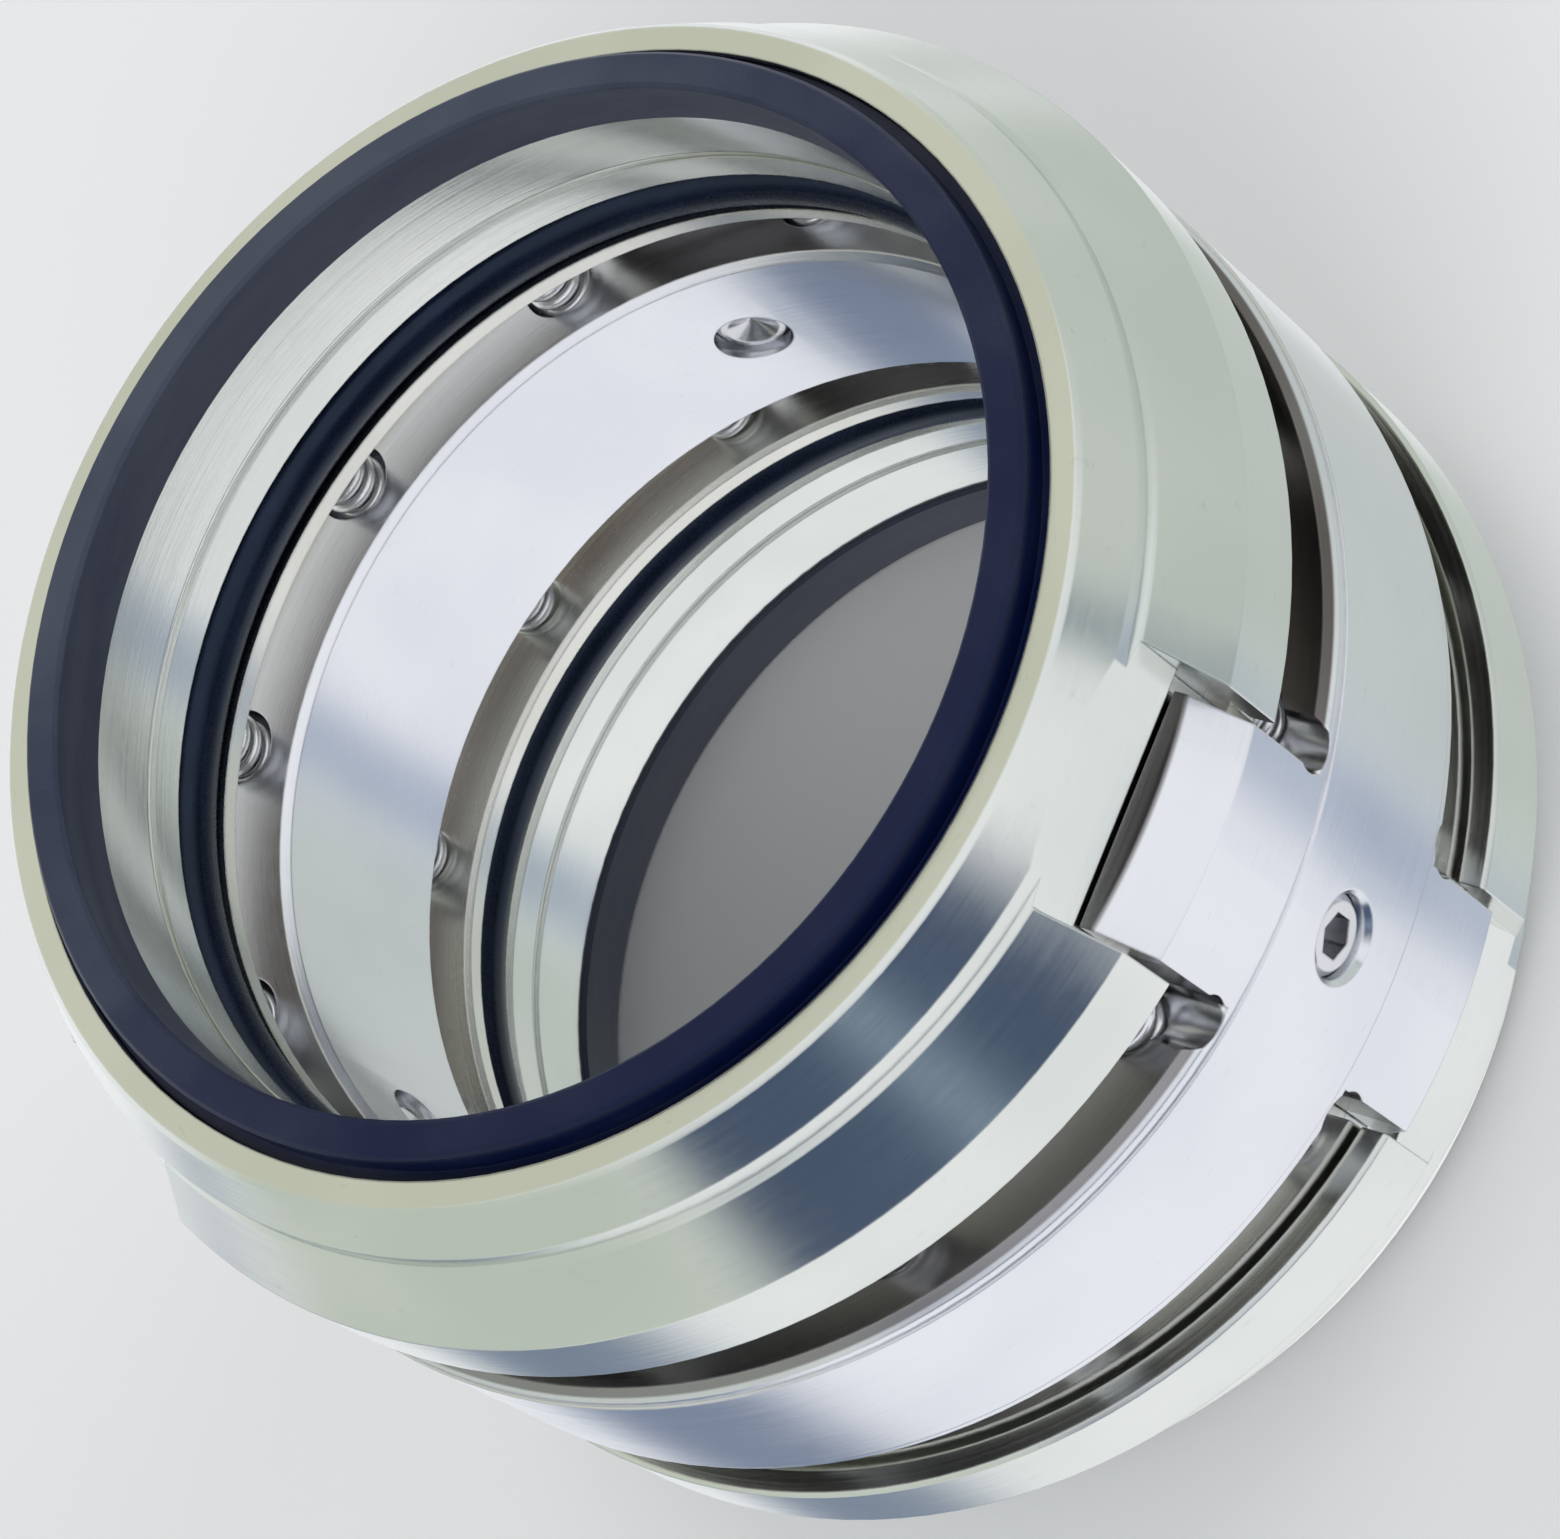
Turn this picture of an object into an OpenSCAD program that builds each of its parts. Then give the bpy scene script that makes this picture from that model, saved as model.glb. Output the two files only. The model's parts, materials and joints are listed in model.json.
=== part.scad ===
// Double mechanical seal for a boat shaft, standing on its rear end with the shaft line along Z.
// A central drive collar is clamped on the shaft. On each side of it twelve short springs push
// a thrust ring, a shaft O-ring, a carrier and the seal ring in its mouth away from the collar.
// Three lugs of the collar reach both ways into notches of the carriers and turn them.

/* [Shaft and collar] */
// Diameter of the shaft that the seal is made for
shaft_d = 75; // [66:0.5:110]
// Play between shaft and collar bore, on the radius
bore_clearance = 0.05; // [0.02:0.01:0.1]
// Height of the seal over the shaft, on the radius
seal_wall = 12.5; // [11.2:0.1:14]
// Step from the middle band of the collar down to its edges and lugs
band_step = 0.2; // [0.1:0.05:0.6]
// Width of the collar between its two spring faces
collar_w = 19.8; // [18:0.2:26]
// Width of the raised middle band
collar_band_w = 16.2; // [12:0.2:17]
// Chamfer on the outer edges of the collar
collar_edge_chamfer = 0.85; // [0.3:0.05:1.1]
// Chamfer at both ends of the collar bore
collar_bore_chamfer = 0.6; // [0.2:0.1:1]

/* [Drive lugs] */
// Number of drive lugs, each with a set screw
lug_count = 3; // [2:1:3]
// Width of a lug
lug_w = 17; // [12:0.5:18]
// Thickness of a lug
lug_t = 5.3; // [4.4:0.1:5.6]
// Reach of a lug past the collar face
lug_reach = 12.6; // [11:0.2:13]
// Chamfer on the end of a lug
lug_chamfer = 3.2; // [1:0.1:3.6]
// Small bevel where a lug chamfer meets the lug end
lug_end_bevel = 0.35; // [0.1:0.05:0.6]
// Radius of the relief drilled at each lug root
relief_r = 2.1; // [1.2:0.1:2.4]
// How far a relief bites into the collar face
relief_depth = 1.3; // [0.8:0.1:1.6]
// How far a relief bites into the side of a lug
relief_bite = 0.3; // [0.1:0.1:0.6]
// Play between a lug and the sides of its notch
lug_side_play = 0.95; // [0.4:0.05:1.2]
// Play between the inside of a lug and the notch floor
lug_floor_play = 0.3; // [0.2:0.05:0.5]

/* [Carriers] */
// Length of a carrier along the shaft
carrier_len = 19.2; // [18.6:0.1:21]
// Free gap between a carrier and the collar
spring_gap = 6.7; // [6:0.1:8]
// Length of the full diameter band next to the collar
carrier_band_len = 6.9; // [6:0.1:8]
// Rise of the long cone next to the full diameter band, on the radius
long_cone_rise = 3.5; // [2.8:0.1:3.8]
// Length of the long cone
long_cone_len = 6.1; // [5.5:0.1:6.4]
// Rise of the small bevel between the land and the long cone
land_step = 0.5; // [0.3:0.05:0.8]
// Length of the land with its small bevel
land_len = 2; // [1.4:0.1:2.4]
// Rise of the short cone at the carrier mouth, on the radius
short_cone_rise = 2; // [1.2:0.1:2.2]
// Bevel round the carrier mouth
mouth_bevel = 0.4; // [0.2:0.05:0.8]
// Gap between shaft and carrier behind the seal ring
carrier_shaft_gap = 0.9; // [0.5:0.1:1.6]
// Depth of the fine groove turned in the carrier bore
bore_groove_depth = 0.35; // [0.2:0.05:0.6]
// Width of that groove
bore_groove_w = 0.9; // [0.5:0.1:1.2]
// Distance from the mouth of the carrier to that groove
bore_groove_at = 9.6; // [7:0.1:11]
// How far the milled flat in front of a lug lies below the land
flat_step = 0.6; // [0.2:0.05:0.8]
// How far a carrier can move towards the collar before a notch meets its lug
carrier_play = 2; // [1:0.1:2.4]
// Bevel on the carrier edge next to the collar
carrier_end_bevel = 0.3; // [0.1:0.05:0.5]

/* [Seal rings] */
// Gap between shaft and seal ring
ring_shaft_gap = 0.5; // [0.3:0.05:1]
// Width of the seal face, on the radius
ring_nose_w = 2.8; // [2:0.1:3.2]
// Width of the foot of a seal ring, on the radius
ring_foot_w = 3.7; // [3.5:0.05:4.2]
// Length of a seal ring along the shaft
ring_len = 5.05; // [4:0.05:6.5]
// Length of the foot of a seal ring
ring_foot_len = 2.35; // [1.5:0.05:2.8]
// How far a seal ring stands proud of its carrier
ring_proud = 1.9; // [1.2:0.1:2.4]
// Bevel on both edges of the seal face
ring_bevel = 0.3; // [0.1:0.05:0.6]
// Play of the foot in its seat, on the radius
ring_play = 0.05; // [0.03:0.01:0.1]

/* [Thrust rings and O-rings] */
// Wall of the carrier round the thrust ring
pocket_wall = 2.1; // [1.6:0.1:2.6]
// Thickness of a thrust ring
thrust_t = 3.1; // [2.4:0.1:3.6]
// Thickness of a thrust ring at its bore, behind the O-ring
thrust_lip_t = 1.8; // [1.2:0.1:2.2]
// How far a thrust ring stands proud of its carrier
thrust_proud = 1.2; // [0.6:0.1:1.6]
// Gap between thrust ring and shaft
thrust_shaft_gap = 0.5; // [0.3:0.05:0.8]
// Bevel at the bore of a thrust ring
thrust_bevel = 0.4; // [0.2:0.05:0.8]
// Gap between thrust ring and carrier, on the radius
thrust_play = 0.4; // [0.2:0.05:0.6]
// Section diameter of an O-ring
oring_section = 4.6; // [4.2:0.1:4.8]
// Gap between O-ring and shaft line of the bore
oring_shaft_gap = 0.1; // [0.06:0.01:0.2]
// Gap between O-ring and the wall of its chamber
oring_chamber_gap = 0.1; // [0.05:0.01:0.2]

/* [Springs] */
// Springs on each side of the collar
spring_count = 12; // [12:12:12]
// Outside diameter of a spring
spring_d = 5.2; // [4.4:0.1:5.4]
// Diameter of the spring wire
wire_d = 0.95; // [0.7:0.05:1]
// Distance that one turn climbs, before it is evened out
spring_pitch = 1.35; // [1.3:0.05:1.8]
// Height of a spring's middle over the shaft
spring_over_shaft = 5.8; // [5.4:0.1:6]
// Play between a spring and its hole, on the radius
spring_play = 0.5; // [0.3:0.05:0.6]
// Depth of a spring hole
spring_hole_depth = 6.5; // [5:0.1:6.8]

/* [Set screws] */
// Diameter of a set screw
screw_d = 6; // [5:0.5:6.5]
// How far the tip of a set screw stays back from the shaft
screw_tip_gap = 0.8; // [0.4:0.1:1.2]
// How far a set screw sits below the collar band
screw_recess = 0.7; // [0.4:0.1:0.8]
// Play between a set screw and its hole, on the radius
screw_play = 0.05; // [0.02:0.01:0.1]
// Width across the flats of the hexagon socket
socket_w = 3; // [2:0.5:3.5]
// Depth of the socket
socket_depth = 3.2; // [2:0.1:4]
// Countersink at the mouth of a screw hole
screw_countersink = 0.5; // [0.2:0.1:0.8]
// Bevel on the edges of a set screw
screw_bevel = 0.5; // [0.2:0.1:0.8]

/* [Hidden] */
// Radii
shaft_r = shaft_d / 2;
bore_r = shaft_r + bore_clearance;
carrier_r = shaft_r + seal_wall;
band_r = carrier_r;
edge_r = band_r - band_step;
cone_foot_r = carrier_r - long_cone_rise;
land_r = cone_foot_r - land_step;
mouth_r = land_r - short_cone_rise;
carrier_bore_r = shaft_r + carrier_shaft_gap;
ring_bore_r = shaft_r + ring_shaft_gap;
nose_r = ring_bore_r + ring_nose_w;
foot_r = ring_bore_r + ring_foot_w;
seat_r = foot_r + ring_play;
pocket_r = carrier_r - pocket_wall;
thrust_r = pocket_r - thrust_play;
thrust_bore_r = shaft_r + thrust_shaft_gap;
oring_in_r = shaft_r + oring_shaft_gap;
chamber_r = oring_in_r + oring_section + oring_chamber_gap;
lug_in_r = edge_r - lug_t;
notch_floor_r = lug_in_r - lug_floor_play;
flat_r = land_r - flat_step;
slot_w = lug_w + 2 * lug_side_play;
spring_r = shaft_r + spring_over_shaft;
spring_hole_d = spring_d + 2 * spring_play;

// Distances of one end unit, counted from its seal face towards the collar
carrier_start = ring_proud;
carrier_end = carrier_start + carrier_len;
collar_face = carrier_end + spring_gap;
band_start = carrier_end - carrier_band_len;
cone_start = band_start - long_cone_len;
land_start = cone_start - land_len;
thrust_back = carrier_end + thrust_proud;
thrust_front = thrust_back - thrust_t;
lip_front = thrust_back - thrust_lip_t;
chamber_start = lip_front - oring_section;
chamber_mouth = 0.6;
lug_end = collar_face - lug_reach;
notch_end = lug_end - carrier_play;

// Whole seal
total_len = 2 * collar_face + collar_w;
mid = total_len / 2;
lug_step = 360 / lug_count;
spring_step = 360 / spring_count;
spring_half_step = spring_step / 2;
screw_top_r = band_r - screw_recess;
screw_tip_r = shaft_r + screw_tip_gap;
screw_len = screw_top_r - screw_tip_r;

// One spring
spring_len = collar_face - thrust_back + spring_hole_depth;
coil_r = (spring_d - wire_d) / 2;
spring_turns = max(2, floor((spring_len - wire_d) / spring_pitch));
spring_rise = (spring_len - wire_d) / spring_turns;

cut = 1;
big = 30;
$fn = 180;

// Turns a shape made for the rear end round to the front end
module at_front() {
    translate([0, 0, total_len]) rotate([180, 0, 0]) children();
}

// Repeats a shape at every lug
module at_lugs() {
    for (i = [0:lug_count - 1]) rotate([0, 0, i * lug_step]) children();
}

// A bar across one lug position, from a radius outwards
module lug_bar(from_r, width, z0, z1) {
    translate([from_r, -width / 2, z0]) cube([big, width, z1 - z0]);
}

// Collar blank with its raised band and chamfers
module collar_blank() {
    half = collar_w / 2;
    c = collar_edge_chamfer;
    b = collar_bore_chamfer;
    translate([0, 0, mid]) rotate_extrude() polygon([
        [bore_r + b, -half], [edge_r - c, -half], [edge_r, c - half], [edge_r, -collar_band_w / 2],
        [band_r, -collar_band_w / 2], [band_r, collar_band_w / 2], [edge_r, collar_band_w / 2],
        [edge_r, half - c], [edge_r - c, half], [bore_r + b, half], [bore_r, half - b], [bore_r, b - half]]);
}

// One lug bar that reaches past both faces of the collar
module lug() {
    reach = mid - lug_end;
    end_r = edge_r - lug_chamfer;
    bevel = lug_end_bevel;
    intersection() {
        translate([0, 0, mid]) rotate_extrude() polygon([
            [shaft_r, -reach], [end_r - bevel, -reach], [end_r, bevel - reach],
            [edge_r, bevel + lug_chamfer - reach], [edge_r, reach - bevel - lug_chamfer],
            [end_r, reach - bevel], [end_r - bevel, reach], [shaft_r, reach]]);
        lug_bar(lug_in_r, lug_w, 0, total_len);
    }
}

// Two reliefs drilled into the collar face beside the root of a lug
module lug_reliefs(z) {
    for (side = [-1, 1]) translate([spring_r, side * (lug_w / 2 + relief_r - relief_bite), z])
        rotate([0, 90, 0]) cylinder(r = relief_r, h = big);
}

// Spring holes in the face at z, drilled towards dir
module spring_holes(z, dir) {
    for (i = [0:spring_count - 1]) rotate([0, 0, spring_half_step + i * spring_step])
        translate([spring_r, 0, z + (dir > 0 ? -cut : -spring_hole_depth)])
            cylinder(d = spring_hole_d, h = spring_hole_depth + cut);
}

// Threaded hole for a set screw, with its countersink
module screw_hole() {
    r = screw_d / 2 + screw_play;
    translate([bore_r / 2, 0, mid]) rotate([0, 90, 0]) cylinder(r = r, h = band_r);
    translate([band_r - screw_countersink - screw_recess / 2, 0, mid]) rotate([0, 90, 0])
        cylinder(r1 = r - screw_recess / 2, r2 = r + screw_countersink + cut,
            h = screw_countersink + screw_recess / 2 + cut);
}

module drive_collar() {
    color("gainsboro") difference() {
        union() {
            collar_blank();
            at_lugs() lug();
        }
        spring_holes(collar_face, 1);
        spring_holes(total_len - collar_face, -1);
        at_lugs() {
            lug_reliefs(collar_face + relief_depth - relief_r);
            lug_reliefs(total_len - collar_face - relief_depth + relief_r);
            screw_hole();
        }
    }
}

// Section of a carrier: mouth, short cone, land, long cone, full band, then the inside steps
module carrier_blank() {
    seat_end = ring_len;
    e = carrier_end_bevel;
    g = carrier_start + bore_groove_at;
    rotate_extrude() polygon([
        [seat_r, carrier_start], [mouth_r - mouth_bevel, carrier_start],
        [mouth_r, carrier_start + mouth_bevel], [land_r, land_start],
        [land_r, cone_start - land_step], [cone_foot_r, cone_start],
        [carrier_r, band_start], [carrier_r, carrier_end - e], [carrier_r - e, carrier_end],
        [pocket_r, carrier_end], [pocket_r, thrust_front], [chamber_r, thrust_front],
        [chamber_r, chamber_start], [carrier_bore_r + chamber_mouth, chamber_start],
        [carrier_bore_r, chamber_start - chamber_mouth],
        [carrier_bore_r, g + bore_groove_w], [carrier_bore_r + bore_groove_depth, g + bore_groove_w],
        [carrier_bore_r + bore_groove_depth, g], [carrier_bore_r, g],
        [carrier_bore_r, seat_end], [seat_r, seat_end]]);
}

module carrier() {
    color("silver") difference() {
        carrier_blank();
        at_lugs() {
            lug_bar(flat_r, slot_w, 0, notch_end);
            lug_bar(notch_floor_r, slot_w, notch_end, carrier_end + cut);
        }
    }
}

// Seal ring: a narrow polished nose on a wider foot
module seal_ring() {
    in_r = ring_bore_r;
    foot_start = ring_len - ring_foot_len;
    color([0.16, 0.18, 0.3]) rotate_extrude() polygon([
        [in_r + ring_bevel, 0], [nose_r - ring_bevel, 0], [nose_r, ring_bevel], [nose_r, foot_start],
        [foot_r, foot_start], [foot_r, ring_len], [in_r, ring_len], [in_r, ring_bevel]]);
}

// Thrust ring: a flat ring with a step for the O-ring and notches for the lugs
module thrust_ring() {
    b = thrust_bevel;
    color("lightgray") difference() {
        rotate_extrude() polygon([
            [chamber_r, thrust_front], [thrust_r, thrust_front], [thrust_r, thrust_back],
            [thrust_bore_r + b, thrust_back], [thrust_bore_r, thrust_back - b],
            [thrust_bore_r, lip_front], [chamber_r, lip_front]]);
        at_lugs() lug_bar(notch_floor_r, slot_w, 0, mid);
    }
}

module o_ring() {
    color([0.06, 0.07, 0.12]) rotate_extrude()
        translate([oring_in_r + oring_section / 2, chamber_start + oring_section / 2])
            circle(d = oring_section, $fn = 48);
}

// Half a turn of wire that climbs by rise
module half_turn(rise) {
    tilt = atan(rise / 2 / coil_r);
    translate([0, 0, rise / 2]) rotate([0, -tilt, 0]) rotate_extrude(angle = 180, $fn = 24)
        translate([coil_r / cos(tilt), 0]) circle(d = wire_d, $fn = 16);
}

// Spring; every turn is a flat half and a climbing half
module spring() {
    color("lightsteelblue") translate([0, 0, wire_d / 2]) union() {
        for (i = [0:spring_turns - 1]) {
            translate([0, 0, i * spring_rise]) half_turn(0);
            translate([0, 0, i * spring_rise]) rotate([0, 0, 180]) half_turn(spring_rise);
        }
    }
}

// Spring number i of one side, standing on its thrust ring
module placed_spring(i) {
    rotate([0, 0, spring_half_step + (i - 1) * spring_step]) translate([spring_r, 0, thrust_back]) spring();
}

// Set screw number i with its socket and cup point
module set_screw(i) {
    r = screw_d / 2;
    b = screw_bevel;
    color("silver") rotate([0, 0, (i - 1) * lug_step]) translate([screw_tip_r, 0, mid]) rotate([0, 90, 0])
        difference() {
            rotate_extrude($fn = 48) polygon([
                [0, 2 * b], [r - 2 * b, 0], [r - b, 0], [r, b], [r, screw_len - b], [r - b, screw_len],
                [0, screw_len]]);
            translate([0, 0, screw_len - socket_depth])
                cylinder(d = socket_w / cos(30), h = socket_depth + cut, $fn = 6);
        }
}

drive_collar();
carrier();  // rear_carrier
at_front() carrier();  // front_carrier
seal_ring();  // rear_seal_ring
at_front() seal_ring();  // front_seal_ring
thrust_ring();  // rear_thrust_ring
at_front() thrust_ring();  // front_thrust_ring
o_ring();  // rear_o_ring
at_front() o_ring();  // front_o_ring
for (i = [1:lug_count]) set_screw(i);
for (i = [1:spring_count]) placed_spring(i);
for (i = [1:spring_count]) at_front() placed_spring(i);
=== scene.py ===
"""Dresses a double mechanical shaft seal and winds its springs.

The solids of the frame keep their shapes and get turned steel, dark seal rings and black rubber.
The springs alone are made anew, at one length, though the real ones shorten when an end unit
slides.
"""

import json
import logging
import math
from dataclasses import dataclass
from enum import Enum
from typing import Dict, List, Optional, Sequence, Tuple, Union

import bmesh
import bpy
from mathutils import Matrix, Quaternion, Vector

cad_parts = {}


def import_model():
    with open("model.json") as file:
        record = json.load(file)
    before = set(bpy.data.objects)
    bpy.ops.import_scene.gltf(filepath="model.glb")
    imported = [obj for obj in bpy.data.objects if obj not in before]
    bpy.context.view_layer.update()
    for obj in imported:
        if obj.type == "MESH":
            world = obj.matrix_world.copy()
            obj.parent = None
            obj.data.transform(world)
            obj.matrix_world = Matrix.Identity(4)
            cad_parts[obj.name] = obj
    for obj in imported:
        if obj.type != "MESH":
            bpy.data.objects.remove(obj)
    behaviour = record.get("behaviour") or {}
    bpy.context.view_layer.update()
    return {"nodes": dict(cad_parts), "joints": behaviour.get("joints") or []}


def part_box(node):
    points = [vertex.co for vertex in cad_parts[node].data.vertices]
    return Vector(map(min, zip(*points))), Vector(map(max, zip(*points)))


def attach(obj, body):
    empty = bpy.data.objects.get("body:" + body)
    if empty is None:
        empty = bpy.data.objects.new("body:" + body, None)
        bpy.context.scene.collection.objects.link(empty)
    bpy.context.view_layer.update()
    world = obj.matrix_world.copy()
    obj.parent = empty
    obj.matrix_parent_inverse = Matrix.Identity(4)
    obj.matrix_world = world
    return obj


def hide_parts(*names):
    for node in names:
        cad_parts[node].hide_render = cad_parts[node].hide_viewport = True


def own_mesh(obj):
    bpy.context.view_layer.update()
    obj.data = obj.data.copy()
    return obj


logging.basicConfig(level=logging.INFO, format="%(message)s")
log = logging.getLogger("seal")

Colour = Tuple[float, float, float]
Place = Tuple[float, float, float]
Value = Union[float, "Signal"]
Paint = Union[Colour, "Signal"]

# The camera: place in metres, turn as a quaternion, lens and sensor in millimetres, and the
# nearest and farthest distance that it shows
CAMERA_PLACE = (0.249939, -0.064361, 0.365972)
CAMERA_TURN = (0.9311273, 0.134896, 0.2984754, 0.1603664)
CAMERA_LENS = 130.7417
CAMERA_SENSOR = 36.0
CAMERA_REACH = (0.01, 20.0)

# Azimuth of the camera as seen from the shaft line, in degrees
CAMERA_AZIMUTH = -14.44

# Shaders count the radius from the shaft line and the height over the rear seal face in millimetres
MILLIMETRES = 1000.0
MIDDLE = 37.7

# The spring gaps: heights off the middle, and radii at which their painted shade fades out and sets
# in
GAP_HEIGHTS = (9.35, 17.6)
GAP_EDGE = (49.62, 49.76)
PAINTED_SHADE_STARTS = (42.3, 45.6)

# The hollow behind a lug's end: heights off the middle at which its painted shade sets in,
# and radii at which it stops
LUG_END_HEIGHTS = (22.2, 22.4)
LUG_END_RADII = (46.25, 46.55)

# The springs stand on this radius and this many degrees apart, the first of them half a step
# from the X axis
SPRING_CIRCLE = 43.3
SPRING_STEP = 30.0

# A slanted direction, in which no two points of a spring lie at the same place
SORT_AXIS = Vector((0.61, 0.37, 0.7))


class Band(Enum):
    """Height bands of the studio: upright walls mirror LOW, cones LEVEL, and upward faces HIGH."""

    LOW = "low"
    LEVEL = "level"
    HIGH = "high"


class Signal:
    """A shader output that takes part in Python arithmetic."""

    def __init__(self, bench: "Bench", socket: bpy.types.NodeSocket) -> None:
        """Keeps the socket and the bench that it belongs to.

        Args:
            bench: The node tree's helper.
            socket: An output socket of one of its nodes.
        """
        self.bench = bench
        self.socket = socket

    def __add__(self, other: Value) -> "Signal":
        """Adds a value."""
        return self.bench.maths("ADD", self, other)

    __radd__ = __add__

    def __sub__(self, other: Value) -> "Signal":
        """Takes a value away."""
        return self.bench.maths("SUBTRACT", self, other)

    def __rsub__(self, other: Value) -> "Signal":
        """Takes this signal away from a value."""
        return self.bench.maths("SUBTRACT", other, self)

    def __mul__(self, other: Value) -> "Signal":
        """Multiplies by a value."""
        return self.bench.maths("MULTIPLY", self, other)

    __rmul__ = __mul__

    def __truediv__(self, other: Value) -> "Signal":
        """Divides by a value."""
        return self.bench.maths("DIVIDE", self, other)

    def __pow__(self, other: Value) -> "Signal":
        """Raises to a power."""
        return self.bench.maths("POWER", self, other)


def rgba(colour: Paint) -> Union[Signal, Tuple[float, float, float, float]]:
    """Adds an alpha to a plain colour and leaves a signal alone."""
    return colour if isinstance(colour, Signal) else (*colour, 1.0)


class Bench:
    """Adds nodes to one node tree."""

    def __init__(self, tree: bpy.types.NodeTree) -> None:
        """Empties the tree.

        Args:
            tree: Node tree of a material or of the world.
        """
        self.tree = tree
        tree.nodes.clear()

    def node(self, kind: str, settings: Optional[dict] = None, **values: object) -> bpy.types.Node:
        """Adds a node, sets it up, then fills or links its sockets.

        Args:
            kind: Node type without its ShaderNode prefix.
            settings: Properties of the node, set before its sockets.
            values: Socket values or signals by name, with _ for a space, or by s0, s1 and so on.

        Returns:
            The node.
        """
        made = self.tree.nodes.new("ShaderNode" + kind)
        for key, value in (settings or {}).items():
            setattr(made, key, value)
        for key, value in values.items():
            if key[0] == "s" and key[1:].isdigit():
                target = made.inputs[int(key[1:])]
            else:
                target = made.inputs[key.replace("_", " ")]
            if isinstance(value, Signal):
                self.tree.links.new(value.socket, target)
            elif isinstance(value, bpy.types.NodeSocket):
                self.tree.links.new(value, target)
            else:
                target.default_value = value
        return made

    def maths(self, operation: str, *values: Value) -> Signal:
        """Adds a Math node.

        Args:
            operation: Its operation.
            values: One to three numbers or signals.

        Returns:
            The result.
        """
        inputs = {f"s{i}": v for i, v in enumerate(values)}
        made = self.node("Math", {"operation": operation}, **inputs)
        return Signal(self, made.outputs[0])

    def step(
        self, signal: Signal, low: float, high: float, start: float = 0.0, end: float = 1.0
    ) -> Signal:
        """Maps a signal smoothly from start to end.

        Args:
            signal: What is mapped.
            low: Where the change starts.
            high: Where it ends.
            start: Result up to low.
            end: Result from high on.

        Returns:
            The mapped signal.
        """
        settings = {"interpolation_type": "SMOOTHSTEP"}
        made = self.node("MapRange", settings, s0=signal, s1=low, s2=high, s3=start, s4=end)
        return Signal(self, made.outputs[0])

    def window(self, signal: Signal, low: float, high: float, soft: float) -> Signal:
        """Gives 1 between two values and 0 elsewhere, with soft ends.

        Args:
            signal: What is tested.
            low: Middle of the rising end.
            high: Middle of the falling end.
            soft: Half the width of each end.

        Returns:
            The mask.
        """
        rise = self.step(signal, low - soft, low + soft)
        return rise * self.step(signal, high - soft, high + soft, 1.0, 0.0)

    def blend(self, mask: Value, first: Paint, second: Paint) -> Signal:
        """Mixes two colours.

        Args:
            mask: 0 gives the first and 1 the second.
            first: Colour or signal.
            second: Colour or signal.

        Returns:
            The colour.
        """
        made = self.node("Mix", {"data_type": "RGBA"}, s0=mask, s6=rgba(first), s7=rgba(second))
        return Signal(self, made.outputs[2])

    def place(self) -> Tuple[Signal, Signal, Signal]:
        """Reads the place on the object.

        Returns:
            Distance from the shaft line, height and angle, in millimetres and radians.
        """
        source = self.node("TexCoord")
        split = self.node("SeparateXYZ", None, s0=source.outputs["Object"])
        x, y, z = (Signal(self, split.outputs[i]) for i in range(3))
        x, y, z = x * MILLIMETRES, y * MILLIMETRES, z * MILLIMETRES
        radius = (x * x + y * y) ** 0.5
        return radius, z, self.maths("ARCTAN2", y, x)

    def across(self, radius: Value, angle: Signal) -> Tuple[Signal, Signal]:
        """Turns an angle and a radius back into two coordinates across the shaft line.

        Args:
            radius: Distance from the shaft line.
            angle: Angle round it.

        Returns:
            The coordinates along X and Y.
        """
        return self.maths("COSINE", angle) * radius, self.maths("SINE", angle) * radius

    def toward(self, angle: Signal, degrees: float) -> Signal:
        """Gives 1 on one side of the object, -1 opposite, and values between them elsewhere.

        Args:
            angle: Angle round the shaft line.
            degrees: Angle at which the result is 1.

        Returns:
            The cosine of the angle between the two.
        """
        return self.maths("COSINE", angle - math.radians(degrees))

    def noise(
        self, parts: Sequence[Value], scale: float, detail: float = 2.0, rough: float = 0.5
    ) -> Signal:
        """Reads noise at a point made of three values.

        Args:
            parts: The point's three values.
            scale: Size of the noise, as its scale.
            detail: Number of octaves.
            rough: Weight of the finer ones.

        Returns:
            The noise, about 0.5.
        """
        point = self.node("CombineXYZ", None, s0=parts[0], s1=parts[1], s2=parts[2])
        made = self.node(
            "TexNoise", None, Vector=point.outputs[0], Scale=scale, Detail=detail, Roughness=rough
        )
        return Signal(self, made.outputs[0])

    def relief(
        self, height: Signal, strength: float, depth: float, edge: Optional[float] = None
    ) -> bpy.types.NodeSocket:
        """Adds a bump, over softened edges where an edge radius is given.

        Args:
            height: The bump's height.
            strength: Share of it that is used.
            depth: Its depth in metres.
            edge: Radius of the softened edges in metres.

        Returns:
            The normal.
        """
        made = self.node("Bump", None, Strength=strength, Distance=depth, Height=height)
        if edge is not None:
            soft = self.node("Bevel", {"samples": 4}, Radius=edge)
            self.tree.links.new(soft.outputs[0], made.inputs["Normal"])
        return made.outputs[0]

    def principled(self, **values: object) -> bpy.types.Node:
        """Adds the Principled shader.

        Args:
            values: Its sockets' values or signals by name.

        Returns:
            The shader.
        """
        return self.node("BsdfPrincipled", None, **values)


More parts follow.
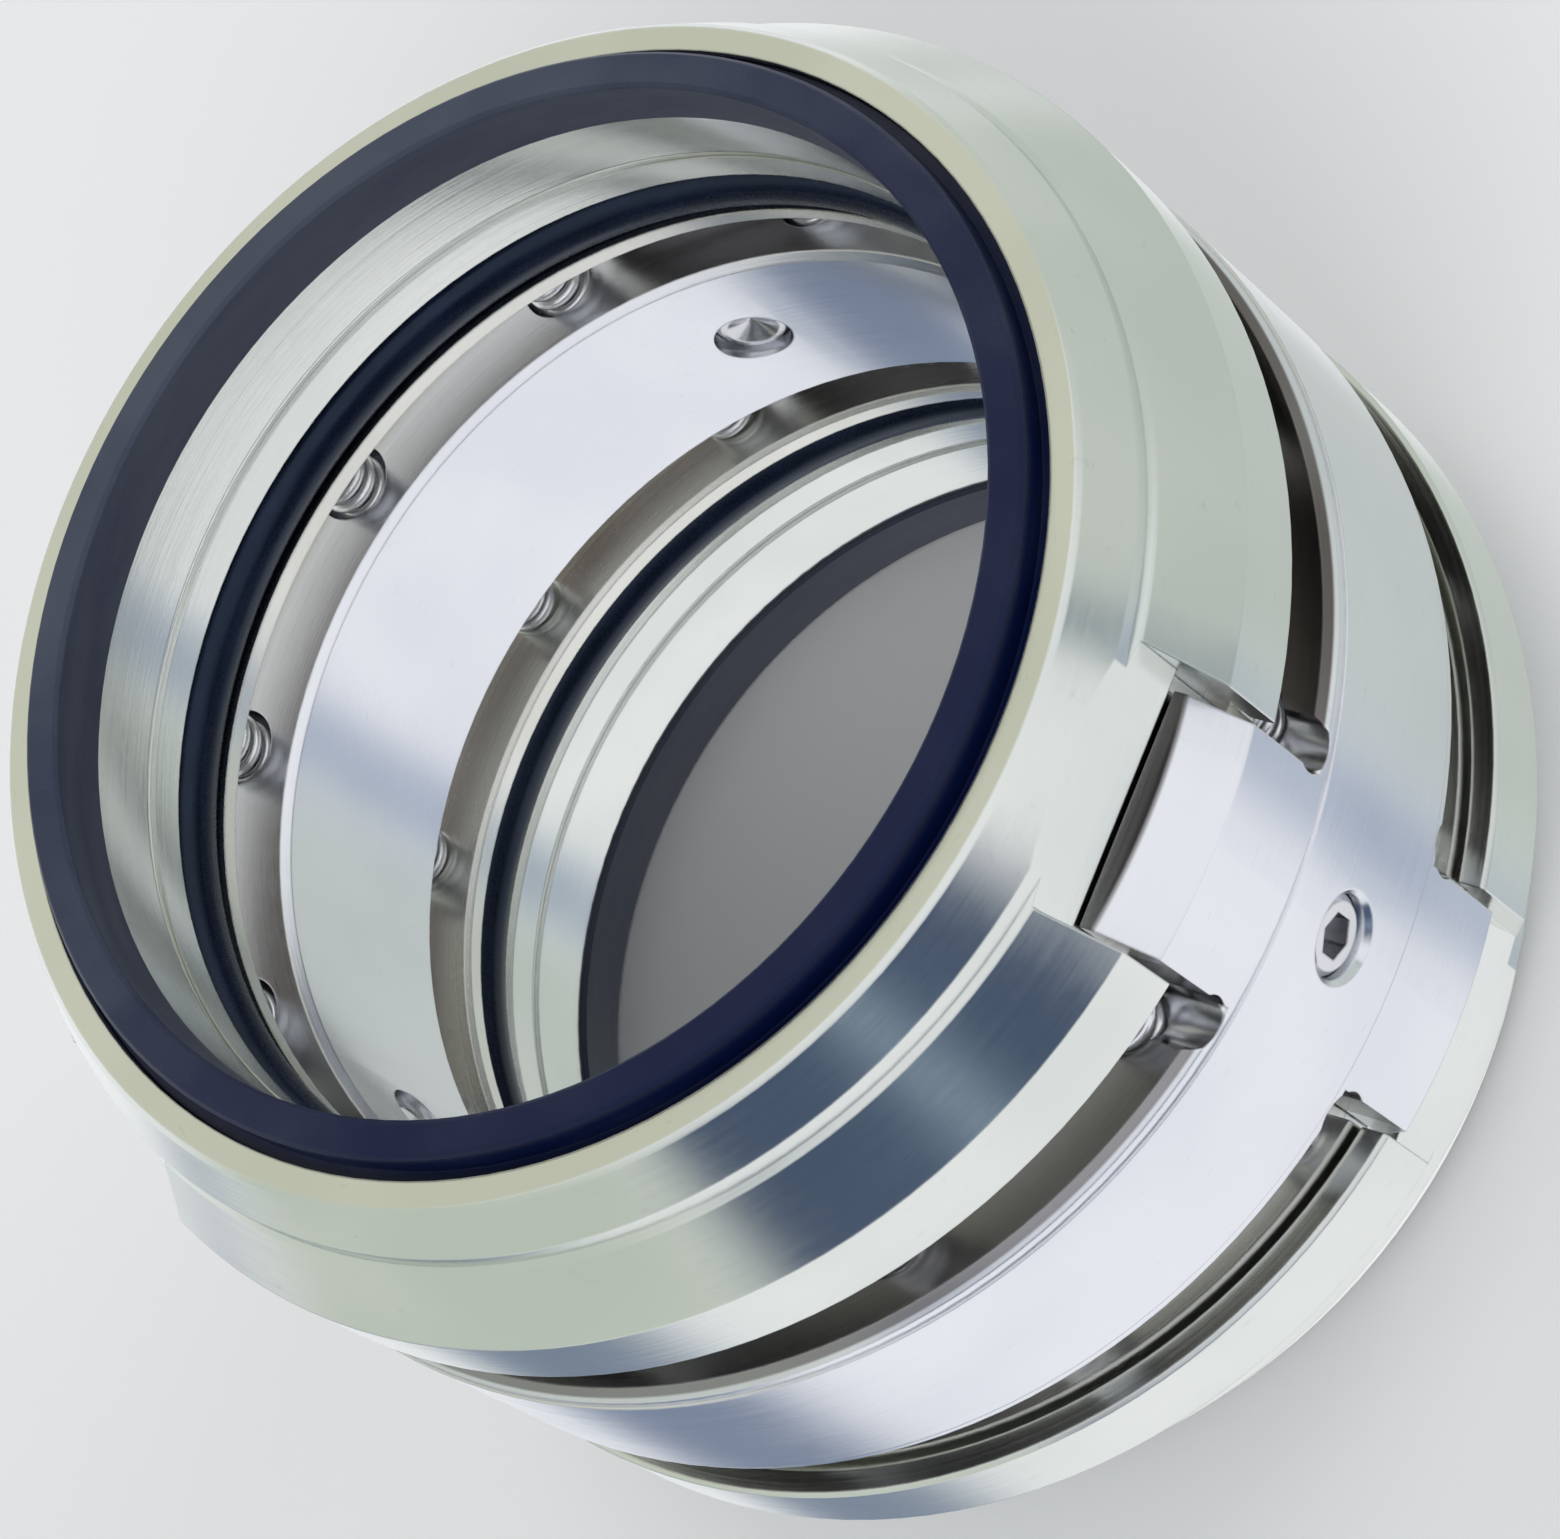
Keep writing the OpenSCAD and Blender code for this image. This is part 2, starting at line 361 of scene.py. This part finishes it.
@dataclass(frozen=True)
class Finish:
    """A finish that every slot of a node can take. Its name is none of the frame's own slots."""

    name: str

    def material(self) -> bpy.types.Material:
        """Makes the material, or finds it if it is made already.

        Returns:
            The material.
        """
        found = bpy.data.materials.get(self.name)
        if found is not None:
            return found
        made = bpy.data.materials.new(self.name)
        made.use_nodes = True
        bench = Bench(made.node_tree)
        shader = self.shade(bench)
        bench.node("OutputMaterial", None, Surface=shader.outputs[0])
        return made

    def shade(self, bench: Bench) -> bpy.types.Node:
        """Builds the shader.

        Args:
            bench: Where the nodes go.

        Returns:
            The shader node.
        """
        raise NotImplementedError


@dataclass(frozen=True)
class TurnedSteel(Finish):
    """Fine turned stainless steel, with rings left by the tool round the shaft line."""

    tone: Colour = (0.78, 0.79, 0.78)
    tint: Colour = (0.70, 0.72, 0.70)
    roughness: float = 0.2
    ring_pitch: float = 0.28
    ring_depth: float = 0.25
    painted_shade: float = 0.0
    painted_shade_dark: Colour = (0.085, 0.062, 0.052)
    painted_shade_lit: Colour = (0.26, 0.25, 0.25)
    painted_shade_lit_at: float = -50.0
    smoothest: float = 0.05
    mark_shade: float = 0.72
    mark_depth: float = 0.00004
    edge: float = 0.00024

    def painted_shade_mask(self, bench: Bench, radius: Signal, height: Signal, patches: Signal) -> Signal:
        """Masks the brown painted shade deep in the two spring gaps and behind the lug ends.

        Args:
            bench: Where the nodes go.
            radius: Distance from the shaft line.
            height: Height over the rear seal face.
            patches: Slow noise that breaks the painted shade up.

        Returns:
            The mask, up to the finish's amount of painted shade.
        """
        off_middle = bench.maths("ABSOLUTE", height - MIDDLE)
        gap = bench.window(off_middle, *GAP_HEIGHTS, 0.1) * bench.step(radius, *GAP_EDGE, 1.0, 0.0)
        behind_lug = bench.step(off_middle, *LUG_END_HEIGHTS)
        lug_end = behind_lug * bench.step(radius, *LUG_END_RADII, 1.0, 0.0)
        deep = gap * bench.step(radius, *PAINTED_SHADE_STARTS) * (patches * 0.5 + 0.72)
        return bench.maths("MAXIMUM", deep, lug_end) * self.painted_shade

    def shade(self, bench: Bench) -> bpy.types.Node:
        """Builds rings, lengthwise streaks, faint patches, fine handling marks and painted shade in
        the gaps.

        Args:
            bench: Where the nodes go.

        Returns:
            The shader node.
        """
        radius, height, angle = bench.place()
        round_x, round_y = bench.across(3.0, angle)
        across = (radius + height * 1.07) / self.ring_pitch
        drift = round_x * 0.3 + round_y * 0.2
        rings = bench.noise((across, radius / self.ring_pitch, drift), 1.0, 3.0, 0.6)
        coarse = bench.noise((across * 0.17, radius * 0.3, 0.0), 1.0, 2.0, 0.5)
        grain = bench.noise((round_x * 9.0, round_y * 9.0, across * 0.6), 1.0, 3.0, 0.65)
        patches = bench.noise((round_x * 0.7, round_y * 0.7, height * 0.05), 1.0, 2.0, 0.5)
        colour = bench.blend(bench.step(patches, 0.35, 0.65), self.tint, self.tone)
        dull = bench.step(grain, 0.62, 0.8, 0.0, 0.35)
        colour = bench.blend(dull, colour, tuple(part * self.mark_shade for part in self.tone))
        # Painted shade: dark brown colour deep in the spring gaps and behind the lug ends, where
        # shade falls.
        if self.painted_shade > 0.0:
            # Painted light: the gap shade is painted paler on the side toward the set angle, as if
            # lit there.
            lit_side = bench.step(bench.toward(angle, self.painted_shade_lit_at), 0.2, 0.8)
            painted_shade = bench.blend(lit_side, self.painted_shade_dark, self.painted_shade_lit)
            colour = bench.blend(self.painted_shade_mask(bench, radius, height, patches), colour, painted_shade)
        uneven = (rings - 0.5) * 0.12 + (patches - 0.5) * 0.1 + (grain - 0.5) * 0.08
        rough = bench.maths("MAXIMUM", uneven + self.roughness, self.smoothest)
        marks = rings * 0.6 + coarse * 0.6 + grain * 0.25
        normal = bench.relief(marks, self.ring_depth, self.mark_depth, self.edge)
        return bench.principled(Base_Color=colour, Metallic=1.0, Roughness=rough, Normal=normal)


@dataclass(frozen=True)
class SealFace(Finish):
    """Dark blue-black seal ring, matt with a soft sheen, fine pores, paler patches and one side
    painted paler, as lit.
    """

    tone: Colour = (0.001, 0.005, 0.036)
    pale: Colour = (0.057, 0.068, 0.100)
    lit_side_at: float = 155.0
    sheen: float = 0.24
    mark_depth: float = 0.00005
    edge: float = 0.0002

    def shade(self, bench: Bench) -> bpy.types.Node:
        """Builds a fine grain, faint lapping rings, paler patches and one side painted paler, as
        lit.

        Args:
            bench: Where the nodes go.

        Returns:
            The shader node.
        """
        radius, height, angle = bench.place()
        x, y = bench.across(radius, angle)
        grain = bench.noise((x, y, height), 5.0, 4.0, 0.65)
        rubbed = bench.noise((x * 0.08, y * 0.08, height * 0.4), 1.0, 3.0, 0.55)
        rings = bench.noise((radius * 4.0, height * 4.0, 0.0), 1.0, 2.0, 0.5)
        # Painted light: the side at the set angle is painted paler, as lit, and the opposite side
        # darker.
        side = bench.toward(angle, self.lit_side_at) * 0.26
        mask = bench.step(grain * 0.2 + rubbed * 0.5 + side, 0.10, 0.75)
        colour = bench.blend(mask, self.tone, self.pale)
        rough = grain * 0.12 + rings * 0.08 + 0.30
        normal = bench.relief(grain + rings * 0.6, 0.2, self.mark_depth, self.edge)
        return bench.principled(
            Base_Color=colour, Metallic=0.0, Roughness=rough, Specular_IOR_Level=self.sheen,
            Normal=normal,
        )


@dataclass(frozen=True)
class Elastomer(Finish):
    """Smooth black rubber of an O-ring, with a bluish sheen and a fine moulding skin."""

    tone: Colour = (0.002, 0.004, 0.014)
    dusty: Colour = (0.006, 0.010, 0.028)
    sheen: float = 0.42
    sheen_tint: Colour = (0.55, 0.72, 1.0)
    skin_depth: float = 0.00005

    def shade(self, bench: Bench) -> bpy.types.Node:
        """Builds a fine skin and dusty patches.

        Args:
            bench: Where the nodes go.

        Returns:
            The shader node.
        """
        radius, height, angle = bench.place()
        x, y = bench.across(radius, angle)
        skin = bench.noise((x, y, height), 3.5, 3.0, 0.6)
        dust = bench.noise((x * 0.15, y * 0.15, height), 1.0, 3.0, 0.6)
        colour = bench.blend(bench.step(dust, 0.42, 0.7), self.tone, self.dusty)
        return bench.principled(
            Base_Color=colour, Roughness=skin * 0.15 + 0.2, Specular_IOR_Level=self.sheen,
            Specular_Tint=rgba(self.sheen_tint), Normal=bench.relief(skin, 0.12, self.skin_depth),
        )


@dataclass(frozen=True)
class DrawnWire(Finish):
    """Bright drawn spring wire with fine draw marks, and painted shade on the coil's inside."""

    tone: Colour = (0.93, 0.94, 0.96)
    spot: Colour = (0.66, 0.64, 0.61)
    coil_inside_shade: Colour = (0.035, 0.032, 0.032)
    shaded_r: float = 1.75
    unshaded_r: float = 2.35
    metallic: float = 0.72
    mark_depth: float = 0.00003

    def shade(self, bench: Bench) -> bpy.types.Node:
        """Builds draw marks, small dull spots and painted shade on the coil's inside.

        Args:
            bench: Where the nodes go.

        Returns:
            The shader node.
        """
        radius, height, angle = bench.place()
        nearest = bench.maths("WRAP", angle, math.radians(SPRING_STEP), 0.0)
        out, along = bench.across(radius, nearest - math.radians(SPRING_STEP / 2))
        out = out - SPRING_CIRCLE
        from_coil_line = (out * out + along * along) ** 0.5
        # Painted shade: the wire goes dark near the coil's centre line, inside the coil and between
        # its turns.
        inside_shade_mask = bench.step(from_coil_line, self.shaded_r, self.unshaded_r, 1.0, 0.0)
        x, y = bench.across(radius, angle)
        marks = bench.noise((x * 6.0, y * 6.0, height * 22.0), 1.0, 3.0, 0.6)
        spots = bench.noise((x, y, height), 2.2, 3.0, 0.6)
        colour = bench.blend(bench.step(spots, 0.55, 0.75, 0.0, 0.5), self.tone, self.spot)
        colour = bench.blend(inside_shade_mask * 0.95, colour, self.coil_inside_shade)
        return bench.principled(
            Base_Color=colour, Metallic=self.metallic, Roughness=marks * 0.14 + 0.18,
            Normal=bench.relief(marks, 0.15, self.mark_depth),
        )


@dataclass
class Dresser:
    """Gives CAD nodes their finishes."""

    nodes: Dict[str, bpy.types.Object]

    def dress(self, names: Sequence[str], finish: Finish) -> None:
        """Sets one finish on every slot of some nodes.

        Args:
            names: Names of CAD nodes.
            finish: The finish.
        """
        made = finish.material()
        for name in names:
            mesh = self.nodes[name].data
            mesh.materials.clear()
            mesh.materials.append(made)
            log.info("dressed %s with %s", name, made.name)

    def starting(self, start: str) -> List[str]:
        """Names of the CAD nodes that start with a text."""
        return sorted(n for n in self.nodes if n.startswith(start))


@dataclass
class CoilSpring:
    """One compression spring with closed, ground ends, wound at full length though the real one
    shortens.
    """

    side: str
    number: int
    wire_d: float = 0.00095
    turns: float = 8.4
    closed: float = 0.9
    steps_a_turn: int = 28
    wire_sides: int = 12
    ground: float = 0.2
    closed_pitch: float = 1.04
    slot: str = "spring_steel"

    def build(self, finish: Finish, travel: float) -> bpy.types.Object:
        """Winds the spring in the place of its CAD node, at full length.

        Args:
            finish: Finish of the wire.
            travel: Distance that its end unit slides at most.

        Returns:
            The spring.
        """
        node = f"{self.side}_spring_{self.number}"
        low, high = (Vector(corner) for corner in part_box(node))
        length = high.z - low.z
        middle = (low + high) / 2
        across = math.hypot(middle.x, middle.y)
        rear = self.side == "rear"
        stand = Matrix.Rotation(math.atan2(middle.y, middle.x), 4, "Z")
        stand = stand @ Matrix.Translation((across, 0.0, 0.0))
        if rear:
            stand = Matrix.Translation((0.0, 0.0, low.z)) @ stand
        else:
            upside_down = Matrix.Rotation(math.pi, 4, "X")
            stand = Matrix.Translation((0.0, 0.0, high.z)) @ stand @ upside_down
        bm = self.wind(length, (high.x - low.x - self.wire_d) / 2)
        bmesh.ops.transform(bm, matrix=stand, verts=bm.verts)
        mesh = bpy.data.meshes.new(f"{self.side}_coil_{self.number}")
        bm.to_mesh(mesh)
        bm.free()
        mesh.shade_smooth()
        mesh.materials.append(finish.material())
        made = bpy.data.objects.new(mesh.name, mesh)
        bpy.context.scene.collection.objects.link(made)
        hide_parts(node)
        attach(made, "collar")
        keep = 1.0 - travel / length
        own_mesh(made)
        log.info("wound %s for %s", made.name, node)
        return made

    def wind(self, length: float, coil_r: float) -> bmesh.types.BMesh:
        """Winds the wire round the Z axis, from height 0 to the spring's length.

        Args:
            length: Length of the spring.
            coil_r: Radius of the wire's centre line.

        Returns:
            The closed wire.
        """
        seat = self.wire_d * self.ground
        closed_pitch = self.wire_d * self.closed_pitch
        open_turns = self.turns - 2 * self.closed
        open_pitch = (length - 2 * seat - 2 * self.closed * closed_pitch) / open_turns
        bm = bmesh.new()
        section = Matrix.Translation((coil_r, 0.0, seat)) @ Matrix.Rotation(math.pi / 2, 4, "X")
        bmesh.ops.create_circle(
            bm, segments=self.wire_sides, radius=self.wire_d / 2, matrix=section
        )
        edges = bm.edges[:]
        end = (self.closed, closed_pitch)
        for turns, pitch in (end, (open_turns, open_pitch), end):
            steps = round(turns * self.steps_a_turn)
            spun = bmesh.ops.spin(
                bm, geom=edges, cent=(0.0, 0.0, 0.0), axis=(0.0, 0.0, 1.0), steps=steps,
                angle=turns * 2 * math.pi, dvec=(0.0, 0.0, turns * pitch / steps),
            )
            edges = [part for part in spun["geom_last"] if isinstance(part, bmesh.types.BMEdge)]
        bmesh.ops.holes_fill(bm, edges=[edge for edge in bm.edges if edge.is_boundary])
        for vert in bm.verts:
            vert.co.z = min(max(vert.co.z, 0.0), length)
        bmesh.ops.recalc_face_normals(bm, faces=bm.faces)
        # Spin leaves its points and faces in an order that changes from run to run.
        bm.verts.sort(key=lambda vert: vert.co.dot(SORT_AXIS))
        bm.faces.sort(key=lambda face: face.calc_center_median().dot(SORT_AXIS))
        return bm


@dataclass
class DriveCollar:
    """The clamped collar with its lugs and set screws."""

    steel: TurnedSteel = TurnedSteel(
        "collar_steel", tone=(0.80, 0.81, 0.85), tint=(0.74, 0.755, 0.80),
        roughness=0.21, ring_pitch=0.3, ring_depth=0.22, painted_shade=0.92,
    )
    screw: TurnedSteel = TurnedSteel(
        "set_screw_steel", tone=(0.74, 0.74, 0.76), tint=(0.64, 0.65, 0.67),
        roughness=0.2, ring_pitch=0.2, ring_depth=0.2,
    )

    def build(self, dresser: Dresser) -> None:
        """Dresses the collar and its screws.

        Args:
            dresser: Gives the finishes.
        """
        dresser.dress(["drive_collar"], self.steel)
        dresser.dress(dresser.starting("set_screw"), self.screw)


@dataclass
class EndUnit:
    """One sprung end: carrier, seal ring, thrust ring, O-ring and springs."""

    side: str
    steel: TurnedSteel = TurnedSteel(
        "carrier_steel", tone=(0.77, 0.79, 0.765), tint=(0.70, 0.73, 0.70),
        roughness=0.19, ring_pitch=0.26, ring_depth=0.25,
    )
    thrust: TurnedSteel = TurnedSteel(
        "thrust_steel", tone=(0.76, 0.76, 0.72), tint=(0.68, 0.68, 0.63),
        roughness=0.24, ring_pitch=0.24, ring_depth=0.3, painted_shade=0.18,
    )
    face: SealFace = SealFace("lapped_carbon")
    rubber: Elastomer = Elastomer("black_rubber")
    wire: DrawnWire = DrawnWire("drawn_wire")

    def build(self, dresser: Dresser, joints: Sequence[dict]) -> None:
        """Dresses every piece of this end and winds its springs.

        Args:
            dresser: Gives the finishes.
            joints: The frame's joints.
        """
        dresser.dress([self.side + "_carrier"], self.steel)
        dresser.dress([self.side + "_thrust_ring"], self.thrust)
        dresser.dress([self.side + "_seal_ring"], self.face)
        dresser.dress([self.side + "_o_ring"], self.rubber)
        slide = next(joint for joint in joints if joint["name"] == self.side + "_face_slide")
        travel = max(abs(limit) for limit in slide["range_m"])
        for number in range(1, len(dresser.starting(self.side + "_spring")) + 1):
            CoilSpring(self.side, number).build(self.wire, travel)


@dataclass(frozen=True)
class Panel:
    """A light or dark field of the studio, seen only in reflections.

    Its two ends are azimuths in degrees, counted from the camera's own, and soft is half the
    width over which each end fades.
    """

    band: Band
    low: float
    high: float
    soft: float
    colour: Colour


@dataclass(frozen=True)
class Lamp:
    """A square soft light: its place, its side in metres and its power in watts."""

    name: str
    place: Place
    size: float
    power: float


@dataclass
class Studio:
    """Pale floor, soft lights, the studio that the steel mirrors, and the camera."""

    floor_colour: Colour = (0.86, 0.865, 0.87)
    open_colour: Colour = (0.90, 0.91, 0.93)
    plain_colour: Colour = (0.97, 0.98, 1.0)
    shown_colour: Colour = (1.0, 1.0, 1.0)
    panels: Tuple[Panel, ...] = (
        Panel(Band.LOW, 60.0, 150.0, 12.0, (0.58, 0.62, 0.59)),
        Panel(Band.LOW, 43.0, 60.0, 6.0, (0.40, 0.46, 0.56)),
        Panel(Band.LOW, -138.0, -98.0, 9.0, (0.19, 0.24, 0.33)),
        Panel(Band.LEVEL, 46.0, 130.0, 8.0, (0.59, 0.63, 0.59)),
        Panel(Band.LEVEL, 40.0, 47.0, 4.0, (0.22, 0.27, 0.30)),
        Panel(Band.LEVEL, -58.0, 6.0, 7.0, (0.07, 0.10, 0.17)),
        Panel(Band.LEVEL, -26.0, -18.0, 4.0, (0.26, 0.33, 0.42)),
        Panel(Band.LEVEL, -125.0, -59.0, 9.0, (0.60, 0.64, 0.58)),
        Panel(Band.HIGH, 105.0, 200.0, 12.0, (0.64, 0.64, 0.53)),
        Panel(Band.HIGH, -200.0, -105.0, 12.0, (0.64, 0.64, 0.53)),
    )
    lamps: Tuple[Lamp, ...] = (
        Lamp("key_light", (0.45, -0.55, 0.75), 0.55, 4.2),
        Lamp("fill_light", (-0.60, 0.35, 0.60), 0.60, 2.0),
        Lamp("front_light", (0.20, 0.60, 0.50), 0.45, 1.2),
    )
    aim: Place = (0.0, 0.0, 0.04)
    floor_half: float = 4.0
    floor_drop: float = 0.0001
    low_fades: Tuple[float, float] = (-32.0, -22.0)
    level_ends: Tuple[float, float] = (-27.0, 27.0)
    high_ends: Tuple[float, float] = (30.0, 68.0)
    band_soft: float = 5.0
    mirrored: float = 1.1
    plain: float = 0.45
    shown: float = 0.9

    def build(self) -> None:
        """Makes the floor, the lamps, the world and the camera."""
        self.build_floor()
        for lamp in self.lamps:
            self.build_lamp(lamp)
        self.build_world()
        self.build_camera()

    def build_floor(self) -> None:
        """Makes a wide pale floor under the object."""
        bm = bmesh.new()
        bmesh.ops.create_grid(bm, x_segments=1, y_segments=1, size=self.floor_half)
        bmesh.ops.translate(bm, verts=bm.verts, vec=(0.0, 0.0, -self.floor_drop))
        mesh = bpy.data.meshes.new("floor")
        bm.to_mesh(mesh)
        bm.free()
        floor = bpy.data.objects.new("floor", mesh)
        bpy.context.scene.collection.objects.link(floor)
        made = bpy.data.materials.new("floor_paint")
        made.use_nodes = True
        bench = Bench(made.node_tree)
        shader = bench.principled(
            Base_Color=rgba(self.floor_colour), Roughness=0.9, Specular_IOR_Level=0.0
        )
        bench.node("OutputMaterial", None, Surface=shader.outputs[0])
        mesh.materials.append(made)
        floor.visible_glossy = False

    def build_lamp(self, lamp: Lamp) -> None:
        """Makes a light that points at the object and that nothing mirrors.

        Args:
            lamp: The light.
        """
        data = bpy.data.lights.new(lamp.name, "AREA")
        data.size = lamp.size
        data.energy = lamp.power
        made = bpy.data.objects.new(lamp.name, data)
        made.location = lamp.place
        made.rotation_mode = "QUATERNION"
        made.rotation_quaternion = (Vector(self.aim) - Vector(lamp.place)).to_track_quat("-Z", "Y")
        made.visible_glossy = False
        bpy.context.scene.collection.objects.link(made)

    def build_world(self) -> None:
        """Makes the studio: white to the camera, panels in reflections, even light elsewhere."""
        world = bpy.data.worlds.new("studio")
        world.use_nodes = True
        bpy.context.scene.world = world
        bench = Bench(world.node_tree)
        way = bench.node("TexCoord")
        split = bench.node("SeparateXYZ", None, s0=way.outputs["Generated"])
        x, y, z = (Signal(bench, split.outputs[i]) for i in range(3))
        turn = math.radians(-CAMERA_AZIMUTH)
        ahead = x * math.cos(turn) - y * math.sin(turn)
        aside = x * math.sin(turn) + y * math.cos(turn)
        side = bench.maths("ARCTAN2", aside, ahead) * math.degrees(1.0)
        up = bench.maths("ARCSINE", z) * math.degrees(1.0)
        bands = {
            Band.LOW: bench.step(up, *self.low_fades, 1.0, 0.0),
            Band.LEVEL: bench.window(up, *self.level_ends, self.band_soft),
            Band.HIGH: bench.window(up, *self.high_ends, self.band_soft),
        }
        colour: Paint = self.open_colour
        for panel in self.panels:
            mask = bands[panel.band] * bench.window(side, panel.low, panel.high, panel.soft)
            colour = bench.blend(mask, colour, panel.colour)
        path = bench.node("LightPath").outputs
        mirrored = bench.node("Background", None, Color=colour, Strength=self.mirrored).outputs[0]
        plain = bench.node(
            "Background", None, Color=rgba(self.plain_colour), Strength=self.plain
        ).outputs[0]
        shown = bench.node(
            "Background", None, Color=rgba(self.shown_colour), Strength=self.shown
        ).outputs[0]
        lit = bench.node("MixShader", None, s0=path["Is Glossy Ray"], s1=plain, s2=mirrored)
        final = bench.node("MixShader", None, s0=path["Is Camera Ray"], s1=lit.outputs[0], s2=shown)
        bench.node("OutputWorld", None, Surface=final.outputs[0])

    def build_camera(self) -> None:
        """Makes the camera at the photograph's angle."""
        data = bpy.data.cameras.new("camera")
        data.sensor_width = CAMERA_SENSOR
        data.lens = CAMERA_LENS
        data.clip_start, data.clip_end = CAMERA_REACH
        camera = bpy.data.objects.new("camera", data)
        camera.location = CAMERA_PLACE
        camera.rotation_mode = "QUATERNION"
        camera.rotation_quaternion = Quaternion(CAMERA_TURN)
        bpy.context.scene.collection.objects.link(camera)
        bpy.context.scene.camera = camera
        bpy.context.scene.view_settings.view_transform = "Standard"


def main() -> None:
    """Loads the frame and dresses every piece."""
    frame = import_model()
    Studio().build()
    dresser = Dresser(frame["nodes"])
    DriveCollar().build(dresser)
    for side in ("front", "rear"):
        EndUnit(side).build(dresser, frame["joints"])


if __name__ == "__main__":
    main()
